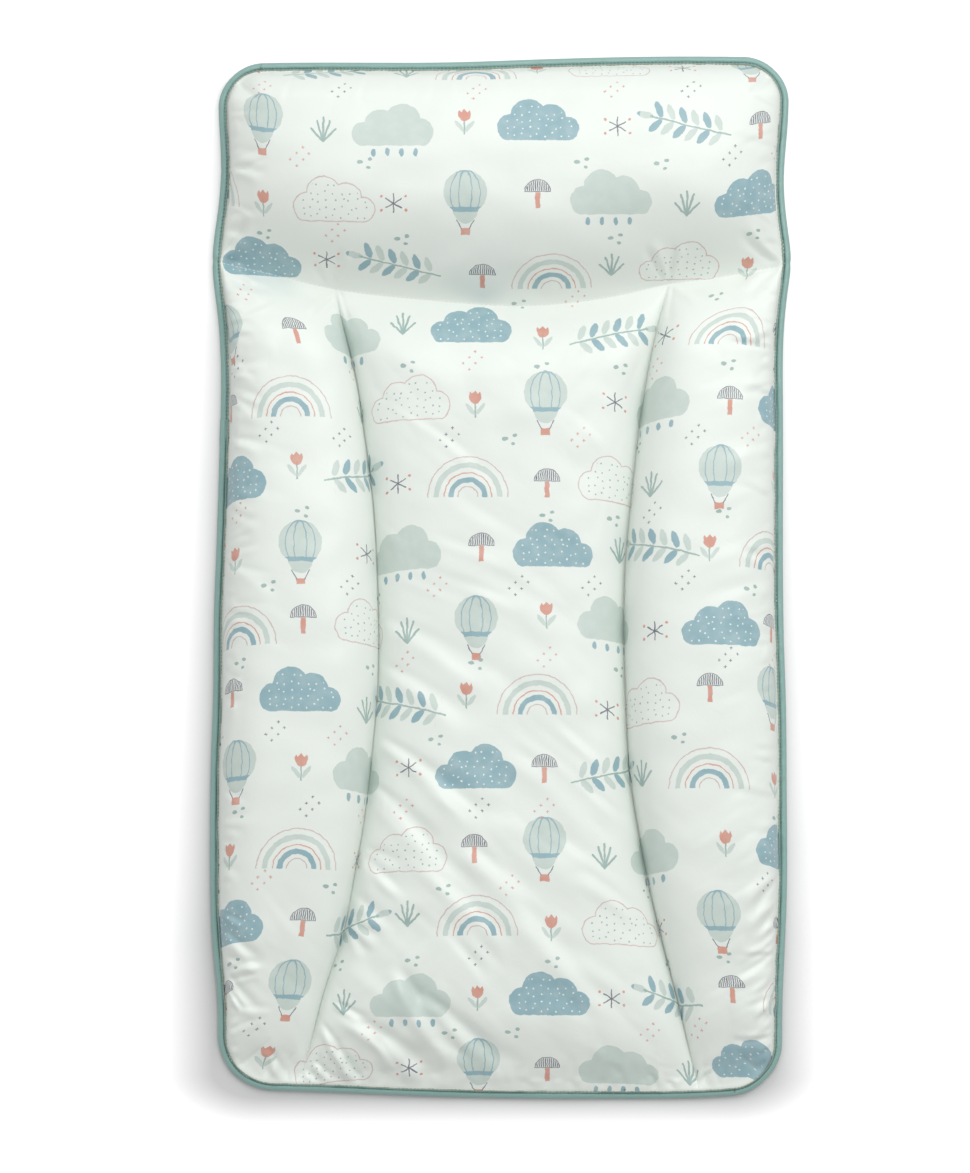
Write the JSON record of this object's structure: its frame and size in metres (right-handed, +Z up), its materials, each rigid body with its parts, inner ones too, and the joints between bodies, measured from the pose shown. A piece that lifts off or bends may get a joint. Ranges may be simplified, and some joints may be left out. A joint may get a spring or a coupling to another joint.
{
  "type": "baby changing mat",
  "caption": "Padded changing mat with raised head and side bolsters, an hourglass centre pad and a bound edge, whose head end folds up.",
  "frame": {"origin": "centre of the bounding box's underside: on the table, under the middle of the mat", "axes": "+Z up from the table, +Y along the mat towards the head bolster, +X across the mat to the right as seen from above"},
  "size_m": [0.411, 0.75, 0.0559],
  "materials": {
    "printed_cover": "white coated fabric, wipe-clean, satin sheen, with a scattered pastel print",
    "plain_cover": "plain white coated fabric, satin sheen",
    "fibre_filling": "white polyester fibre wadding, matte",
    "binding_tape": "grey-green woven bias tape, folded in half, matte",
    "binding_thread": "grey-green polyester sewing thread",
    "seam_thread": "white polyester sewing thread"
  },
  "bodies": {
    "mat_body": {"body_top_cover": "printed_cover", "body_base_cover": "plain_cover", "centre_pad_filling": "fibre_filling", "left_bolster_filling": "fibre_filling", "right_bolster_filling": "fibre_filling", "body_edge_binding": "binding_tape", "body_binding_needle_thread": "binding_thread", "body_binding_bobbin_thread": "binding_thread", "left_channel_needle_thread": "seam_thread", "left_channel_bobbin_thread": "seam_thread", "right_channel_needle_thread": "seam_thread", "right_channel_bobbin_thread": "seam_thread", "head_seam_needle_thread": "seam_thread", "head_seam_bobbin_thread": "seam_thread"},
    "head_rest": {"head_top_cover": "printed_cover", "head_base_cover": "plain_cover", "head_bolster_filling": "fibre_filling", "head_edge_binding": "binding_tape", "head_binding_needle_thread": "binding_thread", "head_binding_bobbin_thread": "binding_thread"}
  },
  "joints": [
    {"name": "head_fold", "type": "hinge", "parent": "mat_body", "child": "head_rest", "pos_m": [0, 0.196, 0.0039], "axis": [1, 0, 0], "range_deg": [0, 70]}
  ]
}
